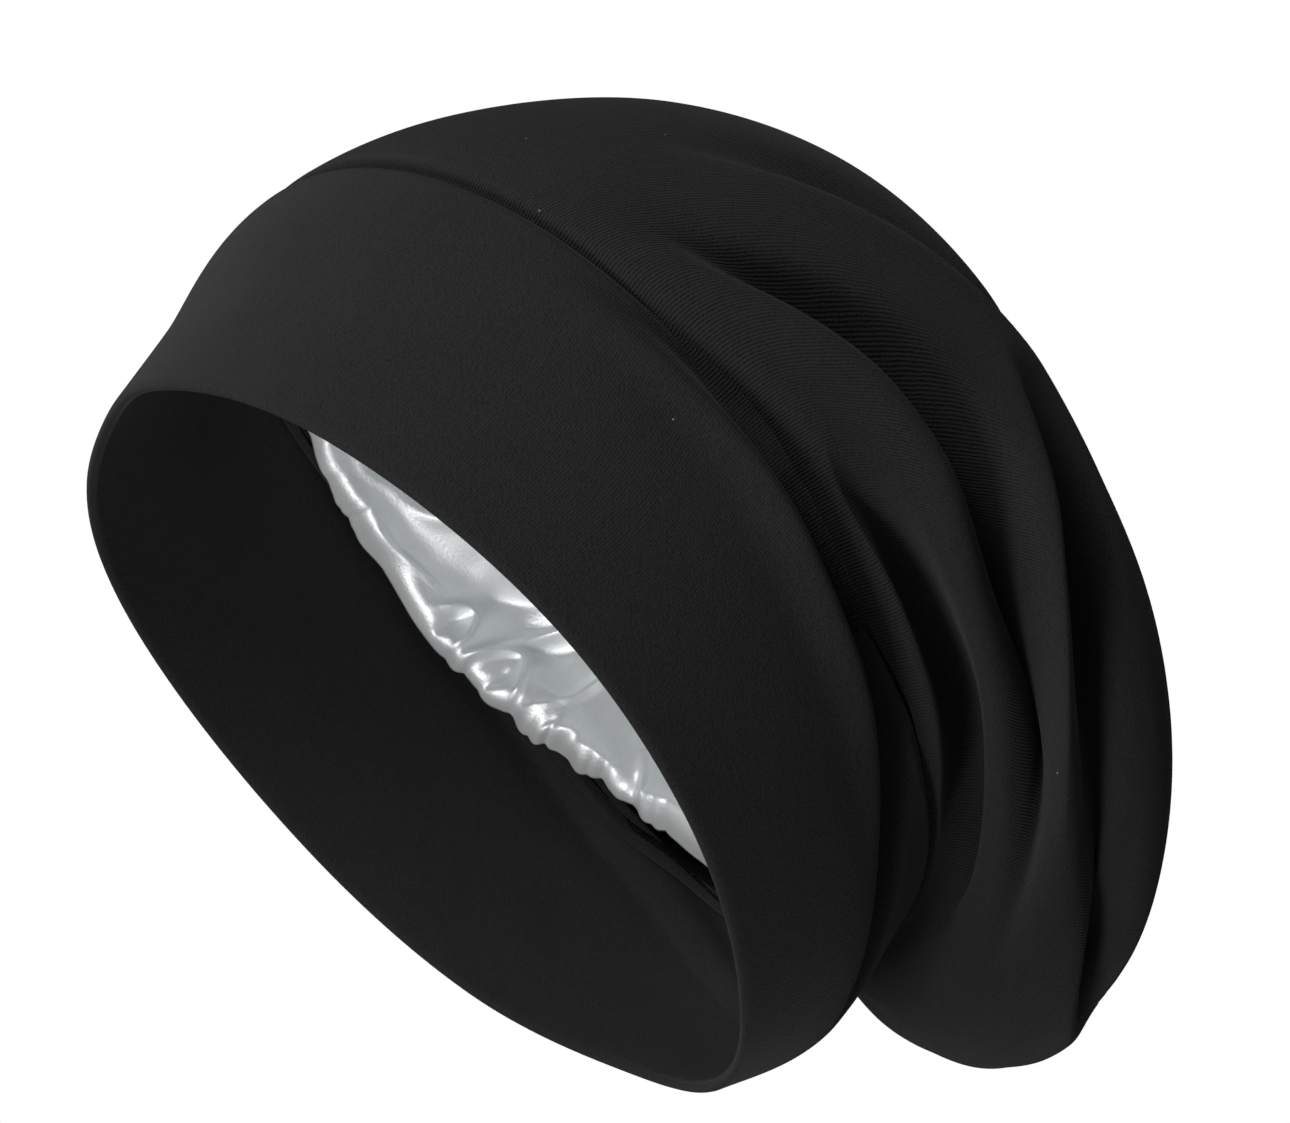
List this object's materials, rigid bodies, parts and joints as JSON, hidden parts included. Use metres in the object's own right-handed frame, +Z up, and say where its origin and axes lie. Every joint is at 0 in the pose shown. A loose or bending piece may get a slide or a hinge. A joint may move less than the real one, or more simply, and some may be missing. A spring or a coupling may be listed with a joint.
{
  "type": "satin lined slouchy beanie",
  "caption": "Slouchy jersey beanie with a wide folded band, a bag crown draped to the nape and a gathered satin lining.",
  "frame": {"origin": "centre of the head opening, in the plane of the rim", "axes": "+X to the wearer's left, -Y to the front, +Z up; the rim's forehead side is raised 43.9 degrees"},
  "size_m": [0.181, 0.2101, 0.2027],
  "materials": {
    "jersey": "fine black rib jersey, matt, with a light bloom on its nap",
    "satin": "silver grey satin, glossy, gathered along its edge"
  },
  "bodies": {
    "root": {"band": "jersey", "crown": "jersey", "lining": "satin"}
  },
  "joints": []
}
